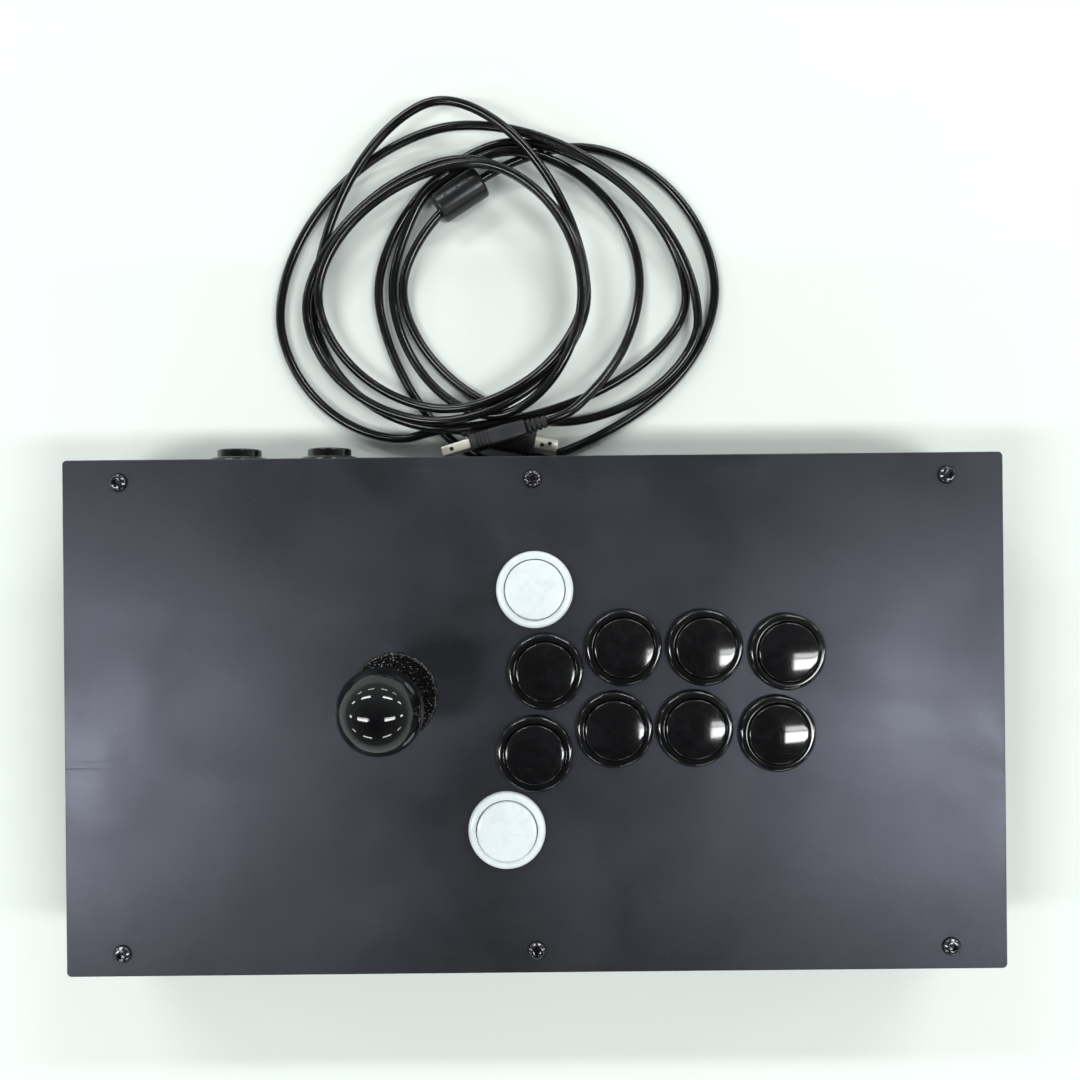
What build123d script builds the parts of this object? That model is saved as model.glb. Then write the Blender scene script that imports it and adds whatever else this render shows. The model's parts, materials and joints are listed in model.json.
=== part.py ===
from build123d import *
import math
import os

# Arcade joystick panel: a low black case with a flat top panel, a ball-top lever, ten 30 mm
# push buttons on the panel, two 24 mm push buttons and two hole plugs in the rear wall, and a
# loose USB lead lying coiled behind it.
# Millimetres, +Z up, floor at z = 0, +X to the player's right, +Y to the rear.

# ---------------------------------------------------------------- driving dimensions

# Case
panel_width = 406.0
panel_depth = 223.0
panel_thickness = 3.0
panel_corner = 2.0
panel_edge = 0.5
case_height = 60.0
foot_height = 5.0
foot_radius = 10.0
foot_tread_radius = 8.6
foot_recess_radius = 4.6
foot_recess_height = 2.6
base_thickness = 2.5
wall_thickness = 2.0
wall_inset = 0.6
case_corner = 2.5
rear_reach = 7.4

# Case fasteners, places measured from the panel's centre
screw_x = 178.8
screw_y = 101.7
post_side = 10.0
thread_radius = 2.0
shank_radius = 1.95
clearance_radius = 2.25
panel_screw_length = 12.0
base_screw_length = 14.0
button_head_radius = 4.05
button_head_height = 2.2
flat_head_radius = 3.9
flat_head_height = 1.9
sink_radius = 4.1
panel_hex_radius = 1.7
panel_hex_depth = 1.5
base_hex_radius = 1.4
base_hex_depth = 1.4
foot_x = 165.0
foot_y = 84.0

# 30 mm push buttons, places measured from the panel's centre
play_places = [(38.5, 28.5), (73.5, 28.3), (109.0, 26.1), (34.3, -6.7),
               (68.9, -6.5), (104.4, -9.0), (4.8, 18.5), (-0.1, -16.8)]
white_places = [(0.5, 53.9), (-12.4, -49.5)]
large = {"rim_r": 16.65, "rim_h": 3.1, "cap_r": 12.85, "cap_h": 5.4, "bore_r": 13.2,
         "barrel_r": 14.8, "hole_r": 15.0, "travel": 3.0}

# 24 mm push buttons and hole plugs in the rear wall
rear_button_x = [-134.5, -93.2]
plug_x = [92.5, 134.0]
rear_centre_z = 31.0
small = {"rim_r": 13.5, "rim_h": 3.3, "cap_r": 9.9, "cap_h": rear_reach, "bore_r": 10.25,
         "barrel_r": 11.8, "hole_r": 12.0, "travel": 2.5}
barrel_depth = 15.0
cap_crown_radius = 92.0
cap_edge = 0.9
bore_edge = 0.5
plug_head_height = 2.0
plug_edge = 1.5

# Lever, place measured from the panel's centre, heights from the floor
lever_place = (-60.6, 8.4)
lever_hole_r = 12.0
pivot_z = 48.0
pivot_r = 9.0
shaft_r = 4.75
ball_r = 17.5
ball_z = 101.0
tilt_limit = 8.0
washer_r = 18.9
washer_bore_r = 8.0
washer_thickness = 1.2
plate_thickness = 1.6
gate_half = 11.9

# Electronics
board_place = (88.0, 68.0)
board_size = (90.0, 50.0, 1.6)
standoff_height = 6.0
socket_x = 30.0
socket_flange = (31.0, 15.0, 1.6)
socket_body = (13.0, 12.2, 16.0)
socket_gap = 0.1
socket_screw_x = 11.5
socket_screw_radius = 1.6

# USB lead, places measured from the panel's centre
cable_d = 4.4
coil_height = 8.0
ferrite_r = 7.6
ferrite_length = 25.0
ferrite_edge = 1.6
plug_nose_down = 5.0

# ---------------------------------------------------------------- derived places

panel_y = -(rear_reach - wall_inset) / 2
panel_bottom = case_height - panel_thickness
base_top = foot_height + base_thickness
case_width = panel_width - 2 * wall_inset
case_depth = panel_depth - 2 * wall_inset
rear_face = panel_y + case_depth / 2
rear_wall_inner = rear_face - wall_thickness
lever_x = lever_place[0]
lever_y = lever_place[1] + panel_y
plate_bottom = panel_bottom - plate_thickness

lever_plane = Plane(origin=(lever_x, lever_y, 0))
panel_plane = Plane(origin=(0, panel_y, case_height))
post_points = [(x, y) for x in (-screw_x, 0, screw_x) for y in (-screw_y, screw_y)]
foot_points = [(x, y) for x in (-foot_x, foot_x) for y in (-foot_y, foot_y)]

os.makedirs("parts", exist_ok=True)


# ---------------------------------------------------------------- helpers

def save(piece, name):
    """Label a finished piece and write it as its own STEP file."""
    piece.part.label = name
    export_step(piece.part, f"parts/{name}.step")


def side_of(base):
    """Plane whose local x is a radius of the base plane and whose local y is its normal."""
    return Plane(origin=base.origin, x_dir=base.x_dir, z_dir=-base.y_dir)


def turn(base, outline, mode=Mode.ADD):
    """Turn a closed outline of (radius, height) corners about the base plane's normal."""
    with BuildSketch(side_of(base)) as profile:
        with BuildLine():
            Polyline(*outline, close=True)
        make_face()
    revolve(profile.sketch, axis=Axis(base.origin, base.z_dir), mode=mode)


def round_edges(piece, base, radius, rounding, end=-1):
    """Round the circular edge of one radius that is furthest along the base plane's normal."""
    rings = piece.edges().filter_by(GeomType.CIRCLE)
    rings = [ring for ring in rings if abs(ring.radius - radius) < 0.01]
    fillet(ShapeList(rings).sort_by(Axis(base.origin, base.z_dir))[end], rounding)


def on_panel(place):
    """Plane on top of the panel at a place measured from the panel's centre."""
    return Plane(origin=(place[0], place[1] + panel_y, case_height))


def on_rear_wall(x, z):
    """Plane on the outside of the rear wall, facing backwards."""
    return Plane(origin=(x, rear_face, z), x_dir=(1, 0, 0), z_dir=(0, 1, 0))


def bend_radii(points):
    """The largest tangent arc at each corner of a route that its two runs leave room for."""
    radii = []
    for before, corner, after in zip(points, points[1:], points[2:]):
        run_in = Vector(*corner) - Vector(*before)
        run_out = Vector(*after) - Vector(*corner)
        half_turn = math.radians(run_in.get_angle(run_out)) / 2
        radii.append(0.45 * min(run_in.length, run_out.length) / math.tan(half_turn))
    return radii


# ---------------------------------------------------------------- case

with BuildPart() as top_panel:
    with BuildSketch(panel_plane):
        RectangleRounded(panel_width, panel_depth, panel_corner)
        with Locations(*play_places, *white_places):
            Circle(large["hole_r"], mode=Mode.SUBTRACT)
        with Locations(lever_place):
            Circle(lever_hole_r, mode=Mode.SUBTRACT)
        with Locations(*post_points):
            Circle(clearance_radius, mode=Mode.SUBTRACT)
    extrude(amount=-panel_thickness)
    outer_rim = top_panel.faces().sort_by(Axis.Z)[-1].outer_wire().edges()
    fillet(outer_rim, panel_edge)
save(top_panel, "top_panel")

with BuildPart() as case_shell:
    with BuildSketch(Plane(origin=(0, panel_y, base_top))):
        RectangleRounded(case_width, case_depth, case_corner)
        RectangleRounded(case_width - 2 * wall_thickness, case_depth - 2 * wall_thickness,
                         case_corner - wall_thickness, mode=Mode.SUBTRACT)
    extrude(amount=panel_bottom - base_top)
    with BuildSketch(on_rear_wall(0, rear_centre_z)):
        with Locations(*[(x, 0) for x in rear_button_x + plug_x]):
            Circle(small["hole_r"])
        with Locations((socket_x, 0)):
            Rectangle(socket_body[0] + 2 * socket_gap, socket_body[1] + 2 * socket_gap)
            with Locations((-socket_screw_x, 0), (socket_screw_x, 0)):
                Circle(socket_screw_radius)
    extrude(amount=-wall_thickness - 1, mode=Mode.SUBTRACT)
save(case_shell, "case_shell")

with BuildPart() as base_plate:
    with BuildSketch(Plane(origin=(0, panel_y, foot_height))):
        RectangleRounded(case_width, case_depth, case_corner)
        with Locations(*foot_points):
            Circle(thread_radius, mode=Mode.SUBTRACT)
    extrude(amount=base_thickness)
    for x, y in post_points:
        sink = Plane(origin=(x, y + panel_y, foot_height))
        turn(sink, [(0, 0), (sink_radius, 0), (clearance_radius, flat_head_height),
                    (clearance_radius, base_thickness), (0, base_thickness)],
             mode=Mode.SUBTRACT)
save(base_plate, "base_plate")

with BuildPart() as frame_posts:
    with BuildSketch(Plane(origin=(0, panel_y, base_top))):
        with Locations(*post_points):
            RectangleRounded(post_side, post_side, 1.0)
            Circle(thread_radius, mode=Mode.SUBTRACT)
    extrude(amount=panel_bottom - base_top)
save(frame_posts, "frame_posts")

with BuildPart() as panel_screws:
    for x, y in post_points:
        seat = Plane(origin=(x, y + panel_y, case_height))
        with BuildSketch(side_of(seat)):
            with BuildLine():
                Polyline((0, button_head_height), (1.9, button_head_height))
                ThreePointArc((1.9, button_head_height), (3.35, 1.55), (button_head_radius, 0.35))
                Polyline((button_head_radius, 0.35), (button_head_radius, 0),
                         (shank_radius, 0), (shank_radius, -panel_screw_length),
                         (0, -panel_screw_length),
                         (0, button_head_height))
            make_face()
        revolve(axis=Axis(seat.origin, seat.z_dir))
    with BuildSketch(panel_plane.offset(button_head_height)):
        with Locations(*post_points):
            RegularPolygon(panel_hex_radius, 6)
    extrude(amount=-panel_hex_depth, mode=Mode.SUBTRACT)
save(panel_screws, "panel_screws")

with BuildPart() as base_screws:
    for x, y in post_points:
        seat = Plane(origin=(x, y + panel_y, foot_height))
        turn(seat, [(0, 0), (flat_head_radius, 0), (shank_radius, flat_head_height),
                    (shank_radius, base_screw_length), (0, base_screw_length)])
    with BuildSketch(Plane(origin=(0, panel_y, foot_height))):
        with Locations(*post_points):
            RegularPolygon(base_hex_radius, 6)
    extrude(amount=base_hex_depth, mode=Mode.SUBTRACT)
save(base_screws, "base_screws")

with BuildPart() as rubber_feet:
    for x, y in foot_points:
        foot = Plane(origin=(x, y + panel_y, 0))
        turn(foot, [(foot_recess_radius, 0), (foot_tread_radius, 0), (foot_radius, foot_height),
                    (clearance_radius, foot_height), (clearance_radius, foot_recess_height),
                    (foot_recess_radius, foot_recess_height)])
save(rubber_feet, "rubber_feet")

foot_head_radius = 3.8
foot_head_bottom = 0.6
foot_screw_top = 11.0
cross_length = 4.2
cross_width = 0.9
cross_depth = 1.0
with BuildPart() as foot_screws:
    for x, y in foot_points:
        foot = Plane(origin=(x, y + panel_y, 0))
        turn(foot, [(0, foot_head_bottom), (foot_head_radius - 0.6, foot_head_bottom),
                    (foot_head_radius, foot_head_bottom + 0.6),
                    (foot_head_radius, foot_recess_height), (shank_radius, foot_recess_height),
                    (shank_radius, foot_screw_top), (0, foot_screw_top)])
    with BuildSketch(Plane(origin=(0, panel_y, foot_head_bottom))):
        with Locations(*foot_points):
            Rectangle(cross_length, cross_width)
            Rectangle(cross_width, cross_length)
    extrude(amount=cross_depth, mode=Mode.SUBTRACT)
save(foot_screws, "foot_screws")


# ---------------------------------------------------------------- push buttons

floor_thickness = 1.6
stem_r = 2.4
aperture_r = 4.0
cap_wall = 1.6
roof_thickness = 2.2
skirt_length = 14.4
lug_size = (1.7, 6.0, 4.0)
cradle_depth = 10.0
cradle_wall = 1.4
cradle_y = 3.7
stem_bottom = 0.3 - barrel_depth
switch_size = (12.8, 5.8, 6.4)
switch_gap = 0.6
nib_r = 1.3
nib_height = 0.5
terminal_x = 4.8
terminal_size = (0.5, 3.2, 4.8)


def button_housing(base, kind, panel, name):
    """Snap-in housing: round rim outside the panel, barrel and switch cradle inside."""
    with BuildPart() as housing:
        turn(base, [(kind["bore_r"], kind["rim_h"]), (kind["rim_r"], kind["rim_h"]),
                    (kind["rim_r"], 0), (kind["barrel_r"], 0),
                    (kind["barrel_r"], -barrel_depth), (aperture_r, -barrel_depth),
                    (aperture_r, floor_thickness - barrel_depth),
                    (kind["bore_r"], floor_thickness - barrel_depth)])
        round_edges(housing, base, kind["rim_r"], kind["rim_h"] * 0.62)
        round_edges(housing, base, kind["bore_r"], bore_edge)
        with BuildSketch(base.offset(-panel - 0.1)):
            with Locations((-kind["barrel_r"], 0), (kind["barrel_r"], 0)):
                Rectangle(lug_size[0], lug_size[1])
        extrude(amount=-lug_size[2])
        with BuildSketch(base.offset(-barrel_depth)):
            with Locations((0, -cradle_y), (0, cradle_y)):
                Rectangle(switch_size[0], cradle_wall)
        extrude(amount=-cradle_depth)
    save(housing, name)


def button_plunger(base, kind, name):
    """Moving cap: a hollow cup with a gently crowned top and a stem that works the switch."""
    cap_r = kind["cap_r"]
    cap_h = kind["cap_h"]
    crown = cap_r ** 2 / (2 * cap_crown_radius)
    roof = cap_h - roof_thickness
    skirt = cap_h - skirt_length
    with BuildPart() as plunger:
        with BuildSketch(side_of(base)):
            with BuildLine():
                Polyline((0, stem_bottom), (stem_r, stem_bottom), (stem_r, roof),
                         (cap_r - cap_wall, roof), (cap_r - cap_wall, skirt), (cap_r, skirt),
                         (cap_r, cap_h - crown))
                ThreePointArc((cap_r, cap_h - crown), (cap_r / 2, cap_h - crown / 4), (0, cap_h))
                Line((0, cap_h), (0, stem_bottom))
            make_face()
        revolve(axis=Axis(base.origin, base.z_dir))
        round_edges(plunger, base, cap_r, cap_edge)
    save(plunger, name)


button_bases = []
for number, place in enumerate(play_places, start=1):
    button_bases.append((on_panel(place), large, panel_thickness, f"play_button_{number}"))
for number, place in enumerate(white_places, start=1):
    button_bases.append((on_panel(place), large, panel_thickness, f"white_button_{number}"))
for number, x in enumerate(rear_button_x, start=1):
    base = on_rear_wall(x, rear_centre_z)
    button_bases.append((base, small, wall_thickness, f"rear_button_{number}"))

for base, kind, panel, name in button_bases:
    button_housing(base, kind, panel, f"{name}_housing")
    button_plunger(base, kind, f"{name}_plunger")

# A microswitch sits in each cradle, below the stem at full travel.
with BuildPart() as button_switches:
    for base, kind, panel, name in button_bases:
        switch_top = -barrel_depth - kind["travel"] - switch_gap
        with BuildSketch(base.offset(switch_top)):
            Rectangle(switch_size[0], switch_size[1])
        extrude(amount=-switch_size[2])
        with BuildSketch(base.offset(switch_top)):
            Circle(nib_r)
        extrude(amount=nib_height)
        with BuildSketch(base.offset(switch_top - switch_size[2])):
            with Locations((-terminal_x, 0), (terminal_x, 0)):
                Rectangle(terminal_size[0], terminal_size[1])
        extrude(amount=-terminal_size[2])
save(button_switches, "button_switches")

plug_skirt = 8.0
plug_wall = 1.5
plug_lug = (1.2, 5.0, 2.5)
with BuildPart() as hole_plugs:
    for x in plug_x:
        base = on_rear_wall(x, rear_centre_z)
        turn(base, [(0, plug_head_height), (small["rim_r"], plug_head_height),
                    (small["rim_r"], 0), (small["barrel_r"], 0), (small["barrel_r"], -plug_skirt),
                    (small["barrel_r"] - plug_wall, -plug_skirt),
                    (small["barrel_r"] - plug_wall, -0.4), (0, -0.4)])
        round_edges(hole_plugs, base, small["rim_r"], plug_edge)
        with BuildSketch(base.offset(-wall_thickness - 0.1)):
            with Locations((-small["barrel_r"], 0), (small["barrel_r"], 0)):
                Rectangle(plug_lug[0], plug_lug[1])
        extrude(amount=-plug_lug[2])
save(hole_plugs, "hole_plugs")


# ---------------------------------------------------------------- lever

plate_size = (53.0, 95.0)
mount_points = [(x, y) for x in (-20.0, 20.0) for y in (-42.0, 42.0)]
stud_length = 12.0
nut_radius = 3.5
nut_height = 3.2
body_side = 60.0
leg_side = 7.0
notch_size = (10.0, 26.0)
corner_points = [(x, y) for x in (-26.0, 26.0) for y in (-26.0, 26.0)]
body_bottom = 36.0
spring_top = 40.8
gate_top = 21.5
gate_thickness = 4.0
board_bottom = 23.4
board_top = 25.0
actuator_top = 33.0
seat_thickness = 1.2

with BuildPart() as mounting_plate:
    with BuildSketch(lever_plane.offset(plate_bottom)):
        RectangleRounded(plate_size[0], plate_size[1], 4)
        Circle(lever_hole_r, mode=Mode.SUBTRACT)
        with Locations(*mount_points):
            Circle(clearance_radius, mode=Mode.SUBTRACT)
    extrude(amount=plate_thickness)
save(mounting_plate, "mounting_plate")

with BuildPart() as lever_studs:
    with BuildSketch(lever_plane.offset(panel_bottom)):
        with Locations(*mount_points):
            Circle(shank_radius)
    extrude(amount=-stud_length)
save(lever_studs, "lever_studs")

with BuildPart() as lever_nuts:
    with BuildSketch(lever_plane.offset(plate_bottom)):
        with Locations(*mount_points):
            RegularPolygon(nut_radius, 6, major_radius=False)
            Circle(thread_radius, mode=Mode.SUBTRACT)
    extrude(amount=-nut_height)
save(lever_nuts, "lever_nuts")

# The body carries the pivot ball in a spherical seat and hangs the gate on four legs.
with BuildPart() as joystick_body:
    with BuildSketch(lever_plane.offset(body_bottom)):
        RectangleRounded(body_side, body_side, 5)
        with Locations((-body_side / 2, 0), (body_side / 2, 0)):
            Rectangle(notch_size[0], notch_size[1], mode=Mode.SUBTRACT)
        with Locations((0, -body_side / 2), (0, body_side / 2)):
            Rectangle(notch_size[1], notch_size[0], mode=Mode.SUBTRACT)
    extrude(amount=plate_bottom - body_bottom)
    with BuildSketch(lever_plane.offset(gate_top)):
        with Locations(*corner_points):
            Rectangle(leg_side, leg_side)
    extrude(amount=body_bottom - gate_top)
    turn(lever_plane, [(0, body_bottom), (12, body_bottom), (12, spring_top), (8, spring_top),
                       (7, 42.6), (0, 42.6)], mode=Mode.SUBTRACT)
    turn(lever_plane, [(0, pivot_z), (pivot_r + 0.3, pivot_z), (pivot_r + 0.3, plate_bottom),
                       (0, plate_bottom)], mode=Mode.SUBTRACT)
    with Locations((lever_x, lever_y, pivot_z)):
        Sphere(pivot_r + 0.05, mode=Mode.SUBTRACT)
save(joystick_body, "joystick_body")

# The ball rocks fore and aft in its seat; its slot lets the shaft lean to either side.
slot_half = shaft_r + 0.1
slot_flare = slot_half + 10 * math.tan(math.radians(tilt_limit + 0.6))
with BuildPart() as pivot_ball:
    with Locations((lever_x, lever_y, pivot_z)):
        Sphere(pivot_r)
    with BuildSketch(Plane(origin=(lever_x, lever_y, pivot_z), x_dir=(1, 0, 0),
                           z_dir=(0, -1, 0))):
        with BuildLine():
            Polyline((slot_half, 0), (slot_flare, 10), (-slot_flare, 10), (-slot_half, 0),
                     (-slot_flare, -10), (slot_flare, -10), close=True)
        make_face()
    extrude(amount=shaft_r + 0.05, both=True, mode=Mode.SUBTRACT)
save(pivot_ball, "pivot_ball")

clip_bottom = 17.3
clip_thickness = 1.0
collar_r = 7.4
collar_top = 57.4
cup_r = pivot_r + 0.08
shaft_foot = 14.5
stud_r = 3.0
stud_bottom = ball_z - 15.1
stud_top = ball_z - 3.5
cup_at_shaft = pivot_z + math.sqrt(cup_r ** 2 - shaft_r ** 2)
cup_at_collar = pivot_z + math.sqrt(cup_r ** 2 - collar_r ** 2)
cup_mid_angle = (math.asin(shaft_r / cup_r) + math.asin(collar_r / cup_r)) / 2
cup_middle = (cup_r * math.sin(cup_mid_angle), pivot_z + cup_r * math.cos(cup_mid_angle))

with BuildPart() as shaft:
    with BuildSketch(side_of(lever_plane)):
        with BuildLine():
            Polyline((0, shaft_foot), (shaft_r - 0.6, shaft_foot), (shaft_r, shaft_foot + 0.6),
                     (shaft_r, clip_bottom - 0.1), (3.6, clip_bottom - 0.1),
                     (3.6, clip_bottom + clip_thickness + 0.1),
                     (shaft_r, clip_bottom + clip_thickness + 0.1), (shaft_r, cup_at_shaft))
            ThreePointArc((shaft_r, cup_at_shaft), cup_middle, (collar_r, cup_at_collar))
            Polyline((collar_r, cup_at_collar), (collar_r, collar_top - 1.2),
                     (collar_r - 1.2, collar_top), (shaft_r, collar_top),
                     (shaft_r, stud_bottom), (stud_r, stud_bottom), (stud_r, stud_top),
                     (0, stud_top), (0, shaft_foot))
        make_face()
    revolve(axis=Axis(lever_plane.origin, lever_plane.z_dir))
save(shaft, "shaft")

gate_mark_r = 1.3
gate_mark_height = 0.15
with BuildPart() as ball_top:
    with Locations((lever_x, lever_y, ball_z)):
        Sphere(ball_r)
    with BuildSketch(lever_plane.offset(ball_z - ball_r - 1)):
        Circle(shaft_r)
    extrude(amount=stud_bottom - (ball_z - ball_r - 1), mode=Mode.SUBTRACT)
    with BuildSketch(lever_plane.offset(stud_bottom)):
        Circle(stud_r)
    extrude(amount=stud_top - stud_bottom, mode=Mode.SUBTRACT)
    with BuildSketch(lever_plane.offset(ball_z + ball_r - 0.4)):
        Circle(gate_mark_r)
    extrude(amount=0.4 + gate_mark_height)
save(ball_top, "ball_top")

with BuildPart() as dust_washer:
    washer_plane = lever_plane.offset(case_height)
    turn(washer_plane, [(washer_bore_r, 0), (washer_r, 0), (washer_r, washer_thickness - 0.7),
                        (washer_r - 0.9, washer_thickness), (washer_bore_r, washer_thickness)])
save(dust_washer, "dust_washer")

with BuildPart() as actuator:
    turn(lever_plane, [(shaft_r + 0.05, 18.5), (7.2, 18.5), (7.2, 23.5), (8.0, 24.3),
                       (8.0, actuator_top - 0.4), (7.6, actuator_top),
                       (shaft_r + 0.05, actuator_top)])
save(actuator, "actuator")

with BuildPart() as spring_seat:
    turn(lever_plane, [(shaft_r + 0.05, actuator_top), (9.3, actuator_top),
                       (9.3, actuator_top + seat_thickness),
                       (shaft_r + 0.05, actuator_top + seat_thickness)])
save(spring_seat, "spring_seat")

wire_r = 0.6
spring_r = 8.4
spring_bottom = actuator_top + seat_thickness + wire_r
with BuildPart() as return_spring:
    with BuildLine():
        Helix(pitch=1.45, height=spring_top - wire_r - spring_bottom, radius=spring_r,
              center=(lever_x, lever_y, spring_bottom))
    with BuildSketch(Plane(origin=(lever_x + spring_r, lever_y, spring_bottom),
                           x_dir=(1, 0, 0), z_dir=(0, 1, 0))):
        Circle(wire_r)
    sweep(is_frenet=True)
save(return_spring, "return_spring")

with BuildPart() as e_clip:
    with BuildSketch(lever_plane.offset(clip_bottom)):
        Circle(6.4)
        Circle(3.65, mode=Mode.SUBTRACT)
        with Locations((5, 0)):
            Rectangle(6, 5.2, mode=Mode.SUBTRACT)
    extrude(amount=clip_thickness)
save(e_clip, "e_clip")

with BuildPart() as restrictor_gate:
    with BuildSketch(lever_plane.offset(gate_top)):
        RectangleRounded(body_side, body_side, 5)
        RectangleRounded(2 * gate_half, 2 * gate_half, 6, mode=Mode.SUBTRACT)
    extrude(amount=-gate_thickness)
    with BuildSketch(lever_plane.offset(gate_top)):
        with Locations(*[(x, y) for x in (-18, 18) for y in (-18, 18)]):
            Circle(2.5)
    extrude(amount=board_bottom - gate_top)
save(restrictor_gate, "restrictor_gate")

switch_board_side = 44.6
switch_board_hole = 12.6
with BuildPart() as switch_board:
    with BuildSketch(lever_plane.offset(board_bottom)):
        Rectangle(switch_board_side, switch_board_side)
        Circle(switch_board_hole, mode=Mode.SUBTRACT)
    extrude(amount=board_top - board_bottom)
save(switch_board, "switch_board")

# Four microswitches face the actuator, one for each direction.
lever_switch_size = (10.0, 19.8, 6.4)
lever_switch_x = 17.4
lever_nib_size = (0.7, 3.0, 2.0)
lever_nib_x = 12.15
with BuildPart() as lever_switches:
    for angle in (0, 90, 180, 270):
        face = lever_plane.offset(board_top).rotated((0, 0, angle))
        with BuildSketch(face):
            with Locations((lever_switch_x, 0)):
                Rectangle(lever_switch_size[0], lever_switch_size[1])
        extrude(amount=lever_switch_size[2])
        with BuildSketch(face.offset(2.2)):
            with Locations((lever_nib_x, 0)):
                Rectangle(lever_nib_size[0], lever_nib_size[1])
        extrude(amount=lever_nib_size[2])
save(lever_switches, "lever_switches")


# ---------------------------------------------------------------- electronics and wiring

board_plane = Plane(origin=(board_place[0], board_place[1] + panel_y, base_top))
board_level = standoff_height + board_size[2]
standoff_points = [(x, y) for x in (-41, 41) for y in (-21, 21)]

with BuildPart() as board_standoffs:
    with BuildSketch(board_plane):
        with Locations(*standoff_points):
            RegularPolygon(3, 6, major_radius=False)
    extrude(amount=standoff_height)
    with BuildSketch(board_plane.offset(standoff_height)):
        with Locations(*standoff_points):
            Circle(1.5)
    extrude(amount=board_size[2])
    with BuildSketch(board_plane.offset(board_level)):
        with Locations(*standoff_points):
            Circle(2.8)
    extrude(amount=1.6)
save(board_standoffs, "board_standoffs")

with BuildPart() as encoder_board:
    with BuildSketch(board_plane.offset(standoff_height)):
        Rectangle(board_size[0], board_size[1])
        with Locations(*standoff_points):
            Circle(1.55, mode=Mode.SUBTRACT)
    extrude(amount=board_size[2])
save(encoder_board, "encoder_board")

with BuildPart() as board_parts:
    with BuildSketch(board_plane.offset(board_level)):
        with Locations((-6, 0)):
            Rectangle(12, 12)
        with Locations((12, 3)):
            Rectangle(11, 4.8)
    extrude(amount=2)
    with BuildSketch(board_plane.offset(board_level)):
        with Locations((0, -20), (-14, 20)):
            Rectangle(40, 6)
        with Locations((-38, 2), (38, 2)):
            Rectangle(6, 16)
    extrude(amount=7)
save(board_parts, "board_parts")

# Panel-mount USB-B socket with its tongue one millimetre inside the mouth.
socket_plane = on_rear_wall(socket_x, rear_centre_z)
mouth_size = (8.5, 7.8, 10.6)
tongue_size = (5.6, 3.2)
with BuildPart() as usb_socket:
    with BuildSketch(socket_plane):
        RectangleRounded(socket_flange[0], socket_flange[1], 3)
        with Locations((-socket_screw_x, 0), (socket_screw_x, 0)):
            Circle(socket_screw_radius, mode=Mode.SUBTRACT)
    extrude(amount=socket_flange[2])
    with BuildSketch(socket_plane):
        Rectangle(socket_body[0], socket_body[1])
    extrude(amount=-socket_body[2])
    with BuildSketch(socket_plane.offset(socket_flange[2])):
        Rectangle(mouth_size[0], mouth_size[1])
        Rectangle(tongue_size[0], tongue_size[1], mode=Mode.SUBTRACT)
    extrude(amount=-mouth_size[2], mode=Mode.SUBTRACT)
    with BuildSketch(socket_plane.offset(socket_flange[2])):
        Rectangle(tongue_size[0], tongue_size[1])
    extrude(amount=-1, mode=Mode.SUBTRACT)
save(usb_socket, "usb_socket")


def loom(points, diameter):
    """Add a round bundle of wires along a route of straight runs and tangent arcs."""
    radii = bend_radii(points)
    with BuildLine() as path:
        FilletPolyline(*points, radius=radii)
    with BuildSketch(Plane(origin=points[0], z_dir=Vector(*points[1]) - Vector(*points[0]))) as end:
        Circle(diameter / 2)
    sweep(end.sketch, path=path.wires()[0])
    print("loom", diameter, "bend radii", [round(radius, 1) for radius in radii])


board_x, board_y = board_plane.origin.X, board_plane.origin.Y
header_z = base_top + board_level + 7
with BuildPart() as wiring_loom:
    loom([(board_x, board_y - 23, header_z - 3), (board_x, board_y - 36, header_z - 3),
          (board_x - 16, board_y - 58, header_z - 4), (board_x - 42, board_y - 68, header_z - 3),
          (board_x - 68, board_y - 72, header_z - 2), (board_x - 88, board_y - 90, header_z - 1),
          (board_x - 96, board_y - 112, header_z + 1)], 6.0)
    loom([(lever_x + 22.4, lever_y, 24.2), (lever_x + 38, lever_y, 24.2),
          (lever_x + 58, lever_y + 12, 18.0), (lever_x + 76, lever_y + 36, 15.5),
          (board_x - 58, board_y + 2, 18.6), (board_x - 41, board_y + 2, 18.6)], 4.0)
    loom([(socket_x, rear_face - 16, rear_centre_z), (socket_x, rear_face - 27, rear_centre_z),
          (board_x - 38, board_y + 22, 29.0), (board_x - 28, board_y + 20, 28.0),
          (board_x - 28, board_y + 20, header_z)], 3.6)
save(wiring_loom, "wiring_loom")


# ---------------------------------------------------------------- USB lead behind the case

# The lead lies on the floor as seven loose turns.  Its coil is one flat closed ring of the
# turns' outer shape, places measured from the panel's centre.
coil_outside = [(-125, 186), (-112, 226), (-82, 262), (-43, 291), (2, 274), (58, 256),
                (93, 194), (57, 129), (0, 114), (-65, 120), (-114, 148)]
coil_inside = [(-60, 193), (-36, 250), (5, 233), (21, 192), (2, 156), (-30, 147)]
with BuildPart() as usb_coil:
    with BuildSketch(Plane(origin=(0, panel_y, 0))):
        with BuildLine():
            Spline(*coil_outside, periodic=True)
        make_face()
        with BuildLine():
            Spline(*coil_inside, periodic=True)
        make_face(mode=Mode.SUBTRACT)
    extrude(amount=coil_height)
save(usb_coil, "usb_coil")


def lying(x, y, z, heading, nose_down=0.0):
    """Plane on a plug's axis: its x axis points to the nose, its z axis roughly upwards."""
    level = math.radians(heading)
    dip = math.radians(nose_down)
    nose = (math.cos(level) * math.cos(dip), math.sin(level) * math.cos(dip), -math.sin(dip))
    up = (math.cos(level) * math.sin(dip), math.sin(level) * math.sin(dip), math.cos(dip))
    return Plane(origin=(x, y + panel_y, z), x_dir=nose, z_dir=up)


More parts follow.
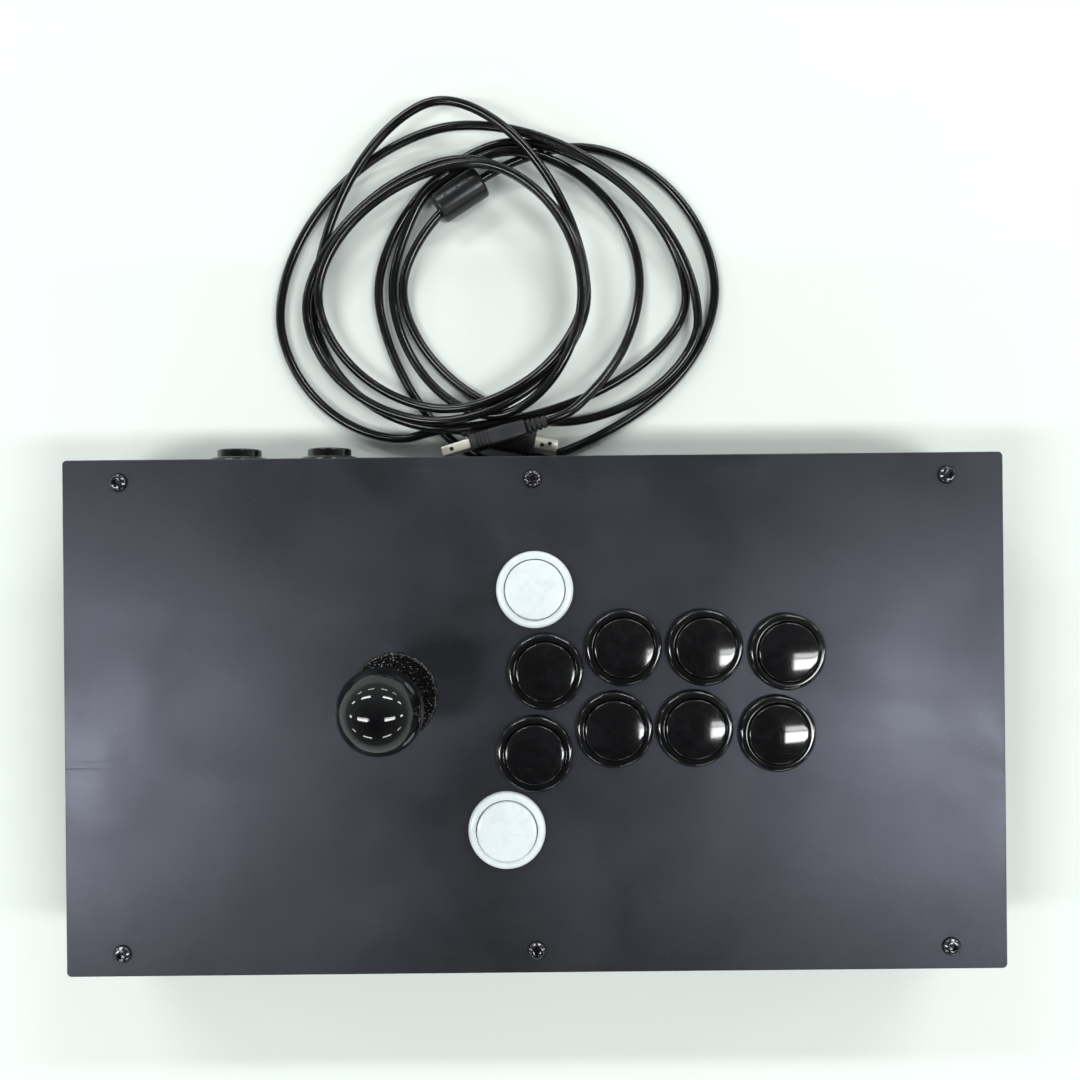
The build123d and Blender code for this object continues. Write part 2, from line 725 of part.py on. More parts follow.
def plug_grip(axis_plane, width, height, length, relief, name):
    """Moulded plug body with grip ribs and a tapered strain relief, shell end at the origin."""
    with BuildPart() as grip:
        end_on = Plane(origin=axis_plane.origin, x_dir=axis_plane.y_dir, z_dir=-axis_plane.x_dir)
        with BuildSketch(end_on):
            RectangleRounded(width, height, 1.6)
        extrude(amount=length)
        for step in range(4):
            with BuildSketch(end_on.offset(3.5 + 1.8 * step)):
                Rectangle(width + 1, height + 1)
                RectangleRounded(width - 0.7, height - 0.7, 1.3, mode=Mode.SUBTRACT)
            extrude(amount=0.8, mode=Mode.SUBTRACT)
        turn(end_on.offset(length), [(0, 0), (3.6, 0), (cable_d / 2 + 0.5, relief), (0, relief)])
    save(grip, name)


def plug_shell(axis_plane, width, height, length, name):
    """Folded metal plug shell with its contact block inside."""
    with BuildPart() as shell:
        end_on = Plane(origin=axis_plane.origin, x_dir=axis_plane.y_dir, z_dir=axis_plane.x_dir)
        with BuildSketch(end_on):
            RectangleRounded(width, height, 0.8)
        extrude(amount=length)
        with BuildSketch(end_on.offset(length)):
            Rectangle(width - 0.9, height - 0.9)
        extrude(amount=1.5 - length, mode=Mode.SUBTRACT)
        with BuildSketch(end_on.offset(1.5)):
            Rectangle((width - 0.9) * 0.6, (height - 0.9) * 0.45)
        extrude(amount=length - 3)
    save(shell, name)


# The USB-B plug lies flat on the floor; the USB-A plug lies on its edge across it.
plug_b = lying(0.9, 121.6, 5.6, -11.0)
plug_grip(plug_b, 12.0, 11.2, 26.0, 10.0, "usb_b_grip")
plug_shell(plug_b, 8.5, 7.8, 11.0, "usb_b_shell")
plug_a = lying(-28.6, 120.6, 19.5, 195.8, plug_nose_down)
plug_grip(plug_a, 8.2, 15.6, 27.0, 10.0, "usb_a_grip")
plug_shell(plug_a, 4.8, 12.0, 13.6, "usb_a_shell")

ferrite_plane = lying(-34.0, 241.5, ferrite_r, 33.0)
with BuildPart() as ferrite_bead:
    bead_axis = Plane(origin=ferrite_plane.origin, x_dir=ferrite_plane.y_dir,
                      z_dir=ferrite_plane.x_dir).offset(-ferrite_length / 2)
    turn(bead_axis, [(cable_d / 2, 0), (ferrite_r - ferrite_edge, 0), (ferrite_r, ferrite_edge),
                     (ferrite_r, ferrite_length - ferrite_edge),
                     (ferrite_r - ferrite_edge, ferrite_length), (cable_d / 2, ferrite_length)])
save(ferrite_bead, "ferrite_bead")
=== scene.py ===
import json
import math

import bmesh
import bpy
import numpy as np
from mathutils import Matrix, Vector


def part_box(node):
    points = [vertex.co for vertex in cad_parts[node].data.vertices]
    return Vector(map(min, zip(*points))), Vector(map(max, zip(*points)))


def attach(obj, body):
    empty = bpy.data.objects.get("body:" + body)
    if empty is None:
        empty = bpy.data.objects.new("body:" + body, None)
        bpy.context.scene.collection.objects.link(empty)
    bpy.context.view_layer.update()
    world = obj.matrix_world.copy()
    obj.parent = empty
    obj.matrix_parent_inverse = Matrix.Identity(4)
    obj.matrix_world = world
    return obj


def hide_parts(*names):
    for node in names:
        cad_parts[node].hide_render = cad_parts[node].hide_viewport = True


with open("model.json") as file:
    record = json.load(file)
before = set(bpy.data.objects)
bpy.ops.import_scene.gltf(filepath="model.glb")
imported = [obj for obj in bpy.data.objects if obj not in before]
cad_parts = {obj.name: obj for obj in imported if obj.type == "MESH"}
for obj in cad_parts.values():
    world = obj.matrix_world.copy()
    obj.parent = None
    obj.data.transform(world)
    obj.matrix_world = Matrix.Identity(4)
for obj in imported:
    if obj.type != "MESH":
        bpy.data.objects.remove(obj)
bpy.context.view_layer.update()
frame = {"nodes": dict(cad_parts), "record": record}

# Everything is in metres in the frame of the CAD model: floor at z = 0, +Y to the rear.
MM = 0.001

panel_low, panel_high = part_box("top_panel")
panel_mid = (panel_low + panel_high) / 2
panel_top = panel_high.z
lever_low, lever_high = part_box("shaft")
lever_axis = (lever_low + lever_high) / 2
nodes = frame["nodes"]


# ---------------------------------------------------------------- camera and ceiling lights

camera_height = 0.450                # above the panel
camera_offset = (0.0030, 0.0752)     # from the panel's centre
camera_turn = math.radians(-0.555)
camera_lens = 34.77
sensor_width = 36.0


def make_camera():
    """A camera above the panel, looking straight down, with the photograph's angle of view."""
    data = bpy.data.cameras.new("camera")
    data.sensor_width = sensor_width
    data.lens = camera_lens
    camera = bpy.data.objects.new("camera", data)
    camera.location = (panel_mid.x + camera_offset[0], panel_mid.y + camera_offset[1],
                       panel_top + camera_height)
    camera.rotation_euler = (0, 0, camera_turn)
    bpy.context.scene.collection.objects.link(camera)
    bpy.context.scene.camera = camera


def ceiling_light(place, size, radiance):
    """A rectangular soft light facing straight down."""
    data = bpy.data.lights.new("ceiling_light", "AREA")
    data.shape = "RECTANGLE"
    data.size, data.size_y = size
    data.energy = radiance * math.pi * size[0] * size[1]
    data.color = (0.97, 0.99, 1.0)
    light = bpy.data.objects.new("ceiling_light", data)
    light.location = place
    bpy.context.scene.collection.objects.link(light)


make_camera()


# ---------------------------------------------------------------- the USB lead

cable_d = 4.4 * MM

# Each turn of the lead by its front, left, rear and right ends, in mm from the panel's centre.
# An end is (x, y, bulge, layer): bulge shapes the quarter turn that follows, 2 being an ellipse
# and less being flatter; of two stretches that cross, the one on the higher layer lies on top.
turns = [
    [(-62, 124.2, 1.9, 2), (-123, 186, 1.8, 3), (-33, 274.5, 1.85, 3), (81, 181, 1.8, 2)],
    [(13, 132, 1.8, 1), (-63, 197, 1.68, 1), (23, 266, 1.9, 1), (90, 195, 1.85, 1)],
    [(-20, 113.6, 1.62, 0), (-75, 196, 1.75, 1), (-9, 267, 1.8, 1), (76, 192, 1.75, 1)],
    [(-40, 128.2, 1.9, 4), (-106, 189, 1.7, 3), (-43, 285, 1.75, 5), (27, 192, 1.8, 4)],
    [(-43, 131.4, 1.9, 5), (-109, 188, 1.65, 5), (-36, 257, 1.85, 6), (26, 196, 1.85, 5)],
    [(-39, 137.2, 1.8, 6), (-103, 193, 1.75, 6), (-29, 254, 1.9, 7), (24, 192, 1.85, 6)],
    [(-18, 134, 1.8, 2), (-68, 197, 1.75, 2), (-10, 262, 1.85, 4)],
]
steps_per_quarter = 6
settle_steps = 700
lead_in = [(-34.5, 128.5), (-42, 129.3), (-51, 127.4)]
lead_out = [(53, 203), (52, 190), (48.6, 177), (42.8, 164.2), (35.5, 153.4), (28, 144.9),
            (20.8, 137.4), (14, 132.8), (7.0, 130.7)]
lead_in_layer, lead_out_layer = 3, 8
exit_height = 5.6 * MM
arrival_height = 22.7 * MM

# Round stretches, as two ends and a radius, that the lead must not sink into: the ferrite bead,
# which it passes through on its second turn, and the two plugs' grips.
bead = (Vector((-44.5, 234.7, 7.6)) * MM, Vector((-23.5, 248.3, 7.6)) * MM, 7.6 * MM)
grip_a = (Vector((-28.6, 120.6, 16)) * MM, Vector((-2.6, 128.0, 16)) * MM, 4.1 * MM)
grip_b = (Vector((0.9, 121.6, 5.6)) * MM, Vector((-24.6, 126.6, 5.6)) * MM, 6.0 * MM)
bead_quarter = 5                     # the quarter turn, counted from 0, that passes through it
beside_above = 9.5 * MM              # higher stretches keep to the side of the USB-A grip


def quarter(start, end, bulge, turning):
    """Points from one end of a turn towards the next, along a superellipse quarter."""
    points = []
    for step in range(steps_per_quarter):
        angle = math.pi / 2 * step / steps_per_quarter
        ahead = math.sin(angle) ** (2 / bulge)
        aside = 1 - math.cos(angle) ** (2 / bulge)
        along, across = (ahead, aside) if turning == "along_x" else (aside, ahead)
        points.append((start[0] + (end[0] - start[0]) * along,
                       start[1] + (end[1] - start[1]) * across))
    return points


def cable_route():
    """The lead's control points, each at the height of the layer that it lies on."""
    ends = [end for turn in turns for end in turn]
    plan = [point[:2] for point in lead_in]
    layers = [lead_in_layer] * len(lead_in)
    for index, end in enumerate(ends):
        following = ends[index + 1] if index + 1 < len(ends) else (*lead_out[0], 0, lead_out_layer)
        turning = "along_x" if index % 2 == 0 else "along_y"
        plan += quarter(end, following, end[2], turning)
        layers += list(np.linspace(end[3], following[3], steps_per_quarter, endpoint=False))
    plan += [point[:2] for point in lead_out]
    layers += [lead_out_layer] * len(lead_out)
    heights = (np.array(layers) + 0.5) * cable_d
    return np.column_stack([np.array(plan) * MM, heights])


def spline_weights(count, per_span):
    """How much each control point counts at even places along a quadratic spline."""
    rows = []
    for middle in range(1, count - 1):
        for t in np.arange(per_span) / per_span:
            row = np.zeros(count)
            row[middle - 1] = 0.5 * (1 - t) ** 2
            row[middle + 1] = 0.5 * t ** 2
            row[middle] = 1 - row[middle - 1] - row[middle + 1]
            rows.append(row)
    return np.array(rows)


def away_from(places, stretch):
    """Vectors that push places out of a round stretch that they have sunk into."""
    start, end, radius = np.array(stretch[0]), np.array(stretch[1]), stretch[2]
    along = end - start
    share = np.clip((places - start) @ along / (along @ along), 0, 1)
    out = places - start - share[:, None] * along
    distance = np.linalg.norm(out, axis=1)
    depth = np.maximum(radius + cable_d / 2 - distance, 0)
    return out / distance[:, None] * depth[:, None]


def settle(route):
    """Let the lead sink under its own weight until it lies on the floor and on itself.

    Where it comes nearer to itself than its thickness, the upper stretch is pushed up and
    both are pushed apart a little, and its stiffness spreads each hump out."""
    count = len(route)
    places_per_span = 5
    weights = spline_weights(count, places_per_span)
    share = weights / weights.sum(0)
    bead_point = len(lead_in) + bead_quarter * steps_per_quarter + steps_per_quarter // 2
    in_bead = np.arange(count) == bead_point
    fixed = in_bead.copy()
    fixed[0] = fixed[-2:] = True
    settled = route.copy()
    settled[:2, 2] = exit_height
    settled[-2:, 2] = arrival_height
    settled[in_bead, 2] = bead[0].z
    outside = 1 - (weights @ in_bead > 0)
    plan = weights @ route[:, :2]
    index = np.arange(len(plan))
    near = np.linalg.norm(plan[:, None] - plan[None], axis=2) < 2.5 * cable_d
    not_neighbours = index[:, None] - index[None] > 4 * places_per_span
    pairs = np.nonzero(near & not_neighbours)
    smoothing, stiffness, homing, parting = 0.3, 0.06, 0.02, 0.3
    first_sink, last_sink, longest_push = 0.25, 0.01, 0.8 * MM
    lifted_by = weights > 0.3
    for step in range(settle_steps):
        haste = (1 - step / settle_steps) ** 2
        sag = np.diff(np.pad(settled[:, 2], 1, "edge"), 2)
        bending = np.diff(np.pad(sag, 1, "edge"), 2)
        sunk = settled[:, 2] + smoothing * haste * sag - stiffness * bending
        sunk -= (first_sink * haste + last_sink) * MM
        settled[:, 2] = np.where(fixed, settled[:, 2], sunk)
        settled[:, :2] += homing * (route[:, :2] - settled[:, :2])
        places = weights @ settled
        gap = places[pairs[0]] - places[pairs[1]]
        first_up = gap[:, 2] >= 0
        upper, lower = np.where(first_up, pairs, pairs[::-1])
        gap *= np.where(first_up, 1, -1)[:, None]
        distance = np.linalg.norm(gap, axis=1)
        hit = distance < cable_d
        upper, lower, gap, distance = upper[hit], lower[hit], gap[hit], distance[hit]
        level = np.minimum((gap[:, :2] ** 2).sum(1), cable_d ** 2)
        aside = parting * (cable_d / np.maximum(distance, 1e-6) - 1)[:, None] * gap[:, :2]
        push = np.zeros_like(places)
        np.maximum.at(push[:, 2], upper,
                      np.minimum(np.sqrt(cable_d ** 2 - level) - gap[:, 2], longest_push))
        np.add.at(push[:, :2], upper, aside)
        np.add.at(push[:, :2], lower, -aside)
        for stretch in (bead, grip_b):
            push += away_from(places, stretch) * outside[:, None]
        beside = places.copy()
        beside[places[:, 2] > beside_above, 2] = grip_a[0].z
        push += away_from(beside, grip_a)
        push = np.clip(push, -longest_push, longest_push)
        moved = share.T @ push
        moved[:, 2] = (lifted_by.T * push[:, 2]).max(1)
        moved[fixed] = 0
        settled += moved
        settled[:, 2] = np.maximum(settled[:, 2], cable_d / 2)
    return settled


def make_cable():
    """The lead: one NURBS spline through its control points, as thick as the cable."""
    curve = bpy.data.curves.new("usb_lead", "CURVE")
    curve.dimensions = "3D"
    curve.bevel_depth = 1.0
    curve.bevel_resolution = 5
    curve.resolution_u = 8
    curve.use_fill_caps = True
    spline = curve.splines.new("NURBS")
    settled = settle(cable_route())
    spline.points.add(len(settled) - 1)
    for point, place in zip(spline.points, settled):
        point.co = (panel_mid.x + place[0], panel_mid.y + place[1], place[2], 1)
        point.radius = cable_d / 2
    spline.order_u = 3
    spline.use_endpoint_u = True
    lead = bpy.data.objects.new("usb_lead", curve)
    bpy.context.scene.collection.objects.link(lead)
    return lead


usb_lead = make_cable()
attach(usb_lead, "case")
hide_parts("usb_coil")


# ---------------------------------------------------------------- materials

class Finish:
    """A procedural material: a Principled shader with textures in the model's own metres."""

    def __init__(self, name, metallic=0.0, coat=0.0, coat_roughness=0.05, specular=0.5,
                 sheen_colour=(1.0, 1.0, 1.0)):
        self.material = bpy.data.materials.new(name)
        self.material.use_nodes = True
        self.tree = self.material.node_tree
        self.tree.nodes.clear()
        output = self.node("ShaderNodeOutputMaterial")
        self.shader = self.node("ShaderNodeBsdfPrincipled")
        self.link(self.shader.outputs["BSDF"], output.inputs["Surface"])
        self.shader.inputs["Metallic"].default_value = metallic
        self.shader.inputs["Coat Weight"].default_value = coat
        self.shader.inputs["Coat Roughness"].default_value = coat_roughness
        self.shader.inputs["Specular IOR Level"].default_value = specular
        self.shader.inputs["Specular Tint"].default_value = (*sheen_colour, 1.0)
        self.place = self.node("ShaderNodeTexCoord").outputs["Object"]
        self.normal = None

    def node(self, kind):
        return self.tree.nodes.new(kind)

    def link(self, output, target):
        self.tree.links.new(output, target)

    def stretched(self, scale, turn=(0, 0, 0)):
        """Texture coordinates stretched and turned, for scratches and brushing."""
        mapping = self.node("ShaderNodeMapping")
        mapping.inputs["Scale"].default_value = scale
        mapping.inputs["Rotation"].default_value = turn
        self.link(self.place, mapping.inputs["Vector"])
        return mapping.outputs["Vector"]

    def noise(self, scale, detail=3.0, roughness=0.5, place=None, distortion=0.0):
        texture = self.node("ShaderNodeTexNoise")
        texture.inputs["Scale"].default_value = scale
        texture.inputs["Detail"].default_value = detail
        texture.inputs["Roughness"].default_value = roughness
        texture.inputs["Distortion"].default_value = distortion
        self.link(place or self.place, texture.inputs["Vector"])
        return texture.outputs["Fac"]

    def cells(self, scale, feature="F1"):
        texture = self.node("ShaderNodeTexVoronoi")
        texture.feature = feature
        texture.inputs["Scale"].default_value = scale
        self.link(self.place, texture.inputs["Vector"])
        return texture.outputs["Distance"]

    def ranged(self, value, low, high, to_low=0.0, to_high=1.0):
        """A value's stretch from low to high, spread from to_low to to_high and clamped."""
        spread = self.node("ShaderNodeMapRange")
        spread.inputs["From Min"].default_value = low
        spread.inputs["From Max"].default_value = high
        spread.inputs["To Min"].default_value = to_low
        spread.inputs["To Max"].default_value = to_high
        self.link(value, spread.inputs["Value"])
        return spread.outputs["Result"]

    def combined(self, operation, first, second):
        maths = self.node("ShaderNodeMath")
        maths.operation = operation
        for socket, value in zip(maths.inputs, (first, second)):
            if isinstance(value, (int, float)):
                socket.default_value = value
            else:
                self.link(value, socket)
        return maths.outputs["Value"]

    def mixed(self, factor, first, second):
        """Two colours, or a colour and a socket, mixed by a factor."""
        mix = self.node("ShaderNodeMix")
        mix.data_type = "RGBA"
        self.link(factor, mix.inputs["Factor"])
        for socket, value in ((mix.inputs[6], first), (mix.inputs[7], second)):
            if isinstance(value, tuple):
                socket.default_value = (*value, 1.0)
            else:
                self.link(value, socket)
        return mix.outputs[2]

    def colour(self, socket):
        self.link(socket, self.shader.inputs["Base Color"])

    def roughness(self, socket):
        self.link(socket, self.shader.inputs["Roughness"])

    def bump(self, height, strength, distance):
        bump = self.node("ShaderNodeBump")
        bump.inputs["Strength"].default_value = strength
        bump.inputs["Distance"].default_value = distance
        self.link(height, bump.inputs["Height"])
        if self.normal:
            self.link(self.normal, bump.inputs["Normal"])
        self.normal = bump.outputs["Normal"]
        self.link(self.normal, self.shader.inputs["Normal"])


def powder_coat(name, dark, light, smudge, specular, sheen_colour):
    """Satin powder-coated metal: fine orange peel, hand smudges, dust specks, light scratches."""
    finish = Finish(name, specular=specular, sheen_colour=sheen_colour)
    smears = finish.ranged(finish.noise(22, 5, 0.62, distortion=0.3), 0.36, 0.68)
    body = finish.mixed(smears, dark, light)
    dust = finish.ranged(finish.cells(260), 0.055, 0.02)
    thin = finish.ranged(finish.noise(60, 2), 0.56, 0.62)
    specks = finish.combined("MULTIPLY", dust, thin)
    finish.colour(finish.mixed(specks, body, (0.16, 0.165, 0.17)))
    streaks = finish.noise(1, 2, 0.6, finish.stretched((30, 900, 30), (0, 0, 0.5)))
    marks = finish.ranged(streaks, 0.66, 0.74, 0.0, 0.10)
    worn = finish.ranged(finish.noise(17, 3, 0.5, distortion=0.3), 0.3, 0.7, *smudge)
    finish.roughness(finish.combined("ADD", worn, marks))
    finish.bump(finish.noise(1500, 3, 0.65), 0.5, 0.0001)
    return finish.material


def gloss_plastic(name, body, film, rough, scratch=0.12, coat=0.25):
    """Polished plastic with fine hairline scratches and a faint film of finger marks."""
    finish = Finish(name, coat=coat, coat_roughness=0.04)
    prints = finish.ranged(finish.noise(120, 4, 0.65, distortion=1.0), 0.45, 0.8)
    finish.colour(finish.mixed(prints, body, film))
    hair_a = finish.noise(1, 2, 0.7, finish.stretched((90, 2600, 90), (0, 0, 0.7)))
    hair_b = finish.noise(1, 2, 0.7, finish.stretched((2300, 80, 90), (0, 0, 0.3)))
    lines = finish.combined("MAXIMUM", hair_a, hair_b)
    hairlines = finish.ranged(lines, 0.68, 0.8, 0.0, scratch)
    haze = finish.ranged(finish.noise(45, 3, 0.6), 0.35, 0.75, *rough)
    finish.roughness(finish.combined("ADD", haze, hairlines))
    finish.bump(finish.noise(160, 2), 0.06, 0.0002)
    return finish.material


def moulded_plastic(name, dark, light, rough=(0.45, 0.6), grain=1800, depth=0.00006):
    """Matt moulded plastic or rubber with a fine grain."""
    finish = Finish(name)
    finish.colour(finish.mixed(finish.ranged(finish.noise(70, 4), 0.3, 0.7), dark, light))
    finish.roughness(finish.ranged(finish.noise(160, 3), 0.3, 0.7, *rough))
    finish.bump(finish.noise(grain, 3, 0.6), 0.5, depth)
    return finish.material


def pebbled_plastic(name):
    """The dust washer's face: small raised pebbles, worn smooth and glossy on top, with painted
    shade in the hollows between them.
    """
    finish = Finish(name, specular=0.42)
    pebbles = finish.cells(1000, "SMOOTH_F1")
    # Painted shade: the hollows between the pebbles are coloured darker than their tops.
    hollow_shade = finish.ranged(pebbles, 0.15, 0.6)
    finish.colour(finish.mixed(hollow_shade, (0.004, 0.004, 0.0045), (0.002, 0.002, 0.002)))
    finish.roughness(finish.ranged(pebbles, 0.25, 0.6, 0.05, 0.12))
    finish.bump(finish.ranged(pebbles, 0.05, 0.6, 1.0, 0.0), 1.0, 0.00016)
    return finish.material


def metal(name, body, tarnish, rough, brushing=(60, 2400, 60)):
    """Bare or plated metal with brushing and faint tarnish."""
    finish = Finish(name, metallic=1.0)
    stain = finish.ranged(finish.noise(140, 4, 0.6), 0.35, 0.75)
    finish.colour(finish.mixed(stain, body, tarnish))
    grain = finish.noise(1, 3, 0.6, finish.stretched(brushing))
    finish.roughness(finish.ranged(grain, 0.3, 0.7, *rough))
    finish.bump(grain, 0.12, 0.00005)
    return finish.material


def circuit_board(name):
    """Solder mask with copper tracks showing faintly through it."""
    finish = Finish(name, coat=0.3, coat_roughness=0.1)
    tracks = finish.ranged(finish.cells(260), 0.30, 0.33)
    finish.colour(finish.mixed(tracks, (0.010, 0.105, 0.035), (0.016, 0.17, 0.055)))
    finish.roughness(finish.ranged(finish.noise(300, 2), 0.3, 0.7, 0.25, 0.4))
    finish.bump(tracks, 0.3, 0.00003)
    return finish.material


def cable_jacket(name):
    """Smooth black PVC with a soft sheen, slightly uneven, with a little dust."""
    finish = Finish(name, coat=0.12, coat_roughness=0.08, specular=0.40)
    patches = finish.ranged(finish.noise(90, 4, 0.6), 0.35, 0.75)
    finish.colour(finish.mixed(patches, (0.0025, 0.0025, 0.003), (0.006, 0.006, 0.007)))
    finish.roughness(finish.ranged(finish.noise(220, 3), 0.3, 0.7, 0.14, 0.24))
    finish.bump(finish.noise(300, 2), 0.1, 0.00006)
    return finish.material


panel_paint = powder_coat("panel_paint", (0.0070, 0.0071, 0.0074), (0.0165, 0.0168, 0.0178),
                          (0.285, 0.43), 0.70, (0.79, 0.82, 1.0))
case_paint = powder_coat("case_paint", (0.011, 0.0115, 0.0125), (0.0165, 0.017, 0.0185),
                         (0.38, 0.50), 0.5, (0.93, 0.95, 1.0))
black_gloss = gloss_plastic("black_gloss", (0.0035, 0.0035, 0.004), (0.010, 0.010, 0.011),
                            (0.07, 0.15), 0.22)
ball_gloss = gloss_plastic("ball_gloss", (0.003, 0.003, 0.0035), (0.006, 0.006, 0.007),
                           (0.04, 0.09), 0.10, 0.0)
white_gloss = gloss_plastic("white_gloss", (0.76, 0.82, 0.845), (0.67, 0.72, 0.735),
                            (0.12, 0.22), 0.08)
black_steel = metal("black_steel", (0.11, 0.11, 0.12), (0.06, 0.06, 0.065), (0.12, 0.24))
plated_steel = metal("plated_steel", (0.62, 0.62, 0.60), (0.50, 0.48, 0.44), (0.285, 0.38))
nickel = metal("nickel", (1.0, 0.97, 0.86), (0.92, 0.88, 0.76), (0.46, 0.60))
milled = metal("milled_aluminium", (0.72, 0.73, 0.75), (0.60, 0.61, 0.62), (0.28, 0.42))
black_matt = moulded_plastic("black_matt", (0.012, 0.012, 0.013), (0.022, 0.022, 0.024))
switch_case = moulded_plastic("switch_case", (0.03, 0.03, 0.034), (0.05, 0.05, 0.055))
soft_rubber = moulded_plastic("soft_rubber", (0.014, 0.014, 0.014), (0.026, 0.026, 0.026),
                              (0.6, 0.8), 1200, 0.0001)
nylon = moulded_plastic("nylon", (0.66, 0.65, 0.60), (0.76, 0.75, 0.70), (0.35, 0.5))
pebbled = pebbled_plastic("pebbled")
board_green = circuit_board("board_green")
jacket = cable_jacket("jacket")

by_slot = {
    "panel_paint": panel_paint, "case_paint": case_paint, "black_steel": black_steel,
    "aluminium": milled, "rubber": soft_rubber, "black_gloss_plastic": black_gloss,
    "white_plastic": white_gloss, "black_matte_plastic": black_matt,
    "switch_plastic": switch_case, "plated_steel": plated_steel, "natural_nylon": nylon,
    "board_green": board_green, "cable_jacket": jacket, "plug_shell": nickel,
}
slot_of = {part["node"]: part["material_slot"] for part in frame["record"]["subparts"]}

for name, node in nodes.items():
    node.data.materials.clear()
    node.data.materials.append(by_slot[slot_of[name]])
usb_lead.data.materials.append(jacket)


# ---------------------------------------------------------------- turned pieces

def rounded(outline, steps=6):
    """(radius, height, rounding) corners in mm as a fine outline with rounded corners."""
    points = []
    for index, (radius, height, rounding) in enumerate(outline):
        corner = Vector((radius, height))
        if rounding == 0 or index in (0, len(outline) - 1):
            points.append(corner)
            continue
        before = (Vector(outline[index - 1][:2]) - corner).normalized()
        after = (Vector(outline[index + 1][:2]) - corner).normalized()
        half = before.angle(after) / 2
        reach = rounding / math.tan(half)
        centre = corner + (before + after).normalized() * (rounding / math.sin(half))
        start = corner + before * reach - centre
        sweep = start.angle_signed(corner + after * reach - centre)
        for step in range(steps + 1):
            angle = -sweep * step / steps
            turned = Matrix.Rotation(angle, 2) @ start
            points.append(centre + turned)
    return points


def turned_piece(name, outline, base, material, segments=96, hexagon=()):
    """A mesh turned from an outline in mm about the base matrix's own Z axis.

    Outline points whose index is in hexagon lie on a hexagon instead of a circle."""
    vertices, faces, rows = [], [], []
    for index, (radius, height) in enumerate(outline):
        if radius < 1e-6:
            rows.append([len(vertices)])
            vertices.append(base @ Vector((0, 0, height * MM)))
            continue
        row = []
        for segment in range(segments):
            angle = 2 * math.pi * segment / segments
            reach = radius
            if index in hexagon:
                reach /= math.cos(angle % (math.pi / 3) - math.pi / 6)
            row.append(len(vertices))
            vertices.append(base @ Vector((reach * math.cos(angle) * MM,
                                           reach * math.sin(angle) * MM, height * MM)))
        rows.append(row)
    for lower, upper in zip(rows, rows[1:]):
        for segment in range(segments):
            after = (segment + 1) % segments
            if len(lower) == 1:
                faces.append((lower[0], upper[after], upper[segment]))
            elif len(upper) == 1:
                faces.append((lower[segment], lower[after], upper[0]))
            else:
                faces.append((lower[segment], lower[after], upper[after], upper[segment]))
    mesh = bpy.data.meshes.new(name)
    mesh.from_pydata(vertices, [], faces)
    mesh.validate()
    mesh.shade_smooth()
    mesh.set_sharp_from_angle(angle=math.radians(32))
    mesh.materials.append(material)
    piece = bpy.data.objects.new(name, mesh)
    bpy.context.scene.collection.objects.link(piece)
    return piece


def joined(pieces, name):
    """Pieces made into one object."""
    bpy.ops.object.select_all(action="DESELECT")
    for piece in pieces:
        piece.select_set(True)
    bpy.context.view_layer.objects.active = pieces[0]
    bpy.ops.object.join()
    pieces[0].name = name
    return pieces[0]


def stand_for(piece, node):
    """Let a piece ride with the body of the CAD node that it replaces, and hide that node."""
    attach(piece, node_body[node])
    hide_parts(node)


node_body = {node: body for body, members in frame["record"]["behaviour"]["bodies"].items()
             for node in members}
facing_rear = Matrix.Rotation(-math.pi / 2, 4, "X")


def button_base(node):
    """Matrix of a button: its origin on the outer face it is fitted in, its Z axis outwards."""
    low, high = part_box(node)
    middle = (low + high) / 2
    if high.z > panel_top:
        return Matrix.Translation((middle.x, middle.y, panel_top))
    place = Matrix.Translation((middle.x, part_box("case_shell")[1].y, middle.z))
    return place @ facing_rear


def make_button(name, rim, cap, barrel, bore, rim_height, cap_height):
    """A snap-in button from its radii and heights in mm: a rounded rim on its barrel, and a
    crowned cap inside it."""
    depth, floor, guide = 15.0, 1.6, 4.0
    housing_node, plunger_node = f"{name}_housing", f"{name}_plunger"
    base = button_base(housing_node)
    material = by_slot[slot_of[housing_node]]
    rim_outline = rounded([
        (bore, -10, 0), (bore, rim_height, 0.45), (rim, rim_height, rim_height * 0.62),
        (rim, 0.06, 0.3), (rim - 0.25, 0.02, 0), (barrel, 0.02, 0), (barrel, -depth, 0.4),
        (guide, -depth, 0), (guide, floor - depth, 0), (bore, floor - depth, 0), (bore, -10, 0)])
    housing = turned_piece(f"{name}_rim", rim_outline, base, material)
    stand_for(housing, housing_node)
    drop = cap ** 2 / (2 * cap_crown_radius)
    crown = [(cap * share, cap_height - drop * share ** 2) for share in (0.2, 0.4, 0.6, 0.75, 0.87)]
    skirt = cap_height - cap_skirt
    wall, roof, stem, stem_end = cap - 1.6, cap_height - 2.2, 2.4, 0.3 - depth
    shoulder = rounded([(*crown[-1], 0), (cap, cap_height - drop, 0.8), (cap, skirt, 0.2),
                        (wall, skirt, 0)])
    inside = [(wall, roof), (stem, roof), (stem, stem_end), (0, stem_end)]
    outline = [(0, cap_height)] + crown + [tuple(p) for p in shoulder[1:]] + inside
    plunger = turned_piece(f"{name}_cap", outline, base, material)
    stand_for(plunger, plunger_node)


cap_crown_radius = 92.0
cap_skirt = 14.4
panel_button = {"rim": 16.65, "cap": 12.85, "barrel": 14.8, "bore": 13.2, "rim_height": 3.1,
                "cap_height": 5.4}
rear_button = {"rim": 13.5, "cap": 9.9, "barrel": 11.8, "bore": 10.25, "rim_height": 3.3,
               "cap_height": 7.4}
for name in sorted(node.removesuffix("_plunger") for node in nodes if node.endswith("_plunger")):
    make_button(name, **(rear_button if name.startswith("rear") else panel_button))


# ---------------------------------------------------------------- lever

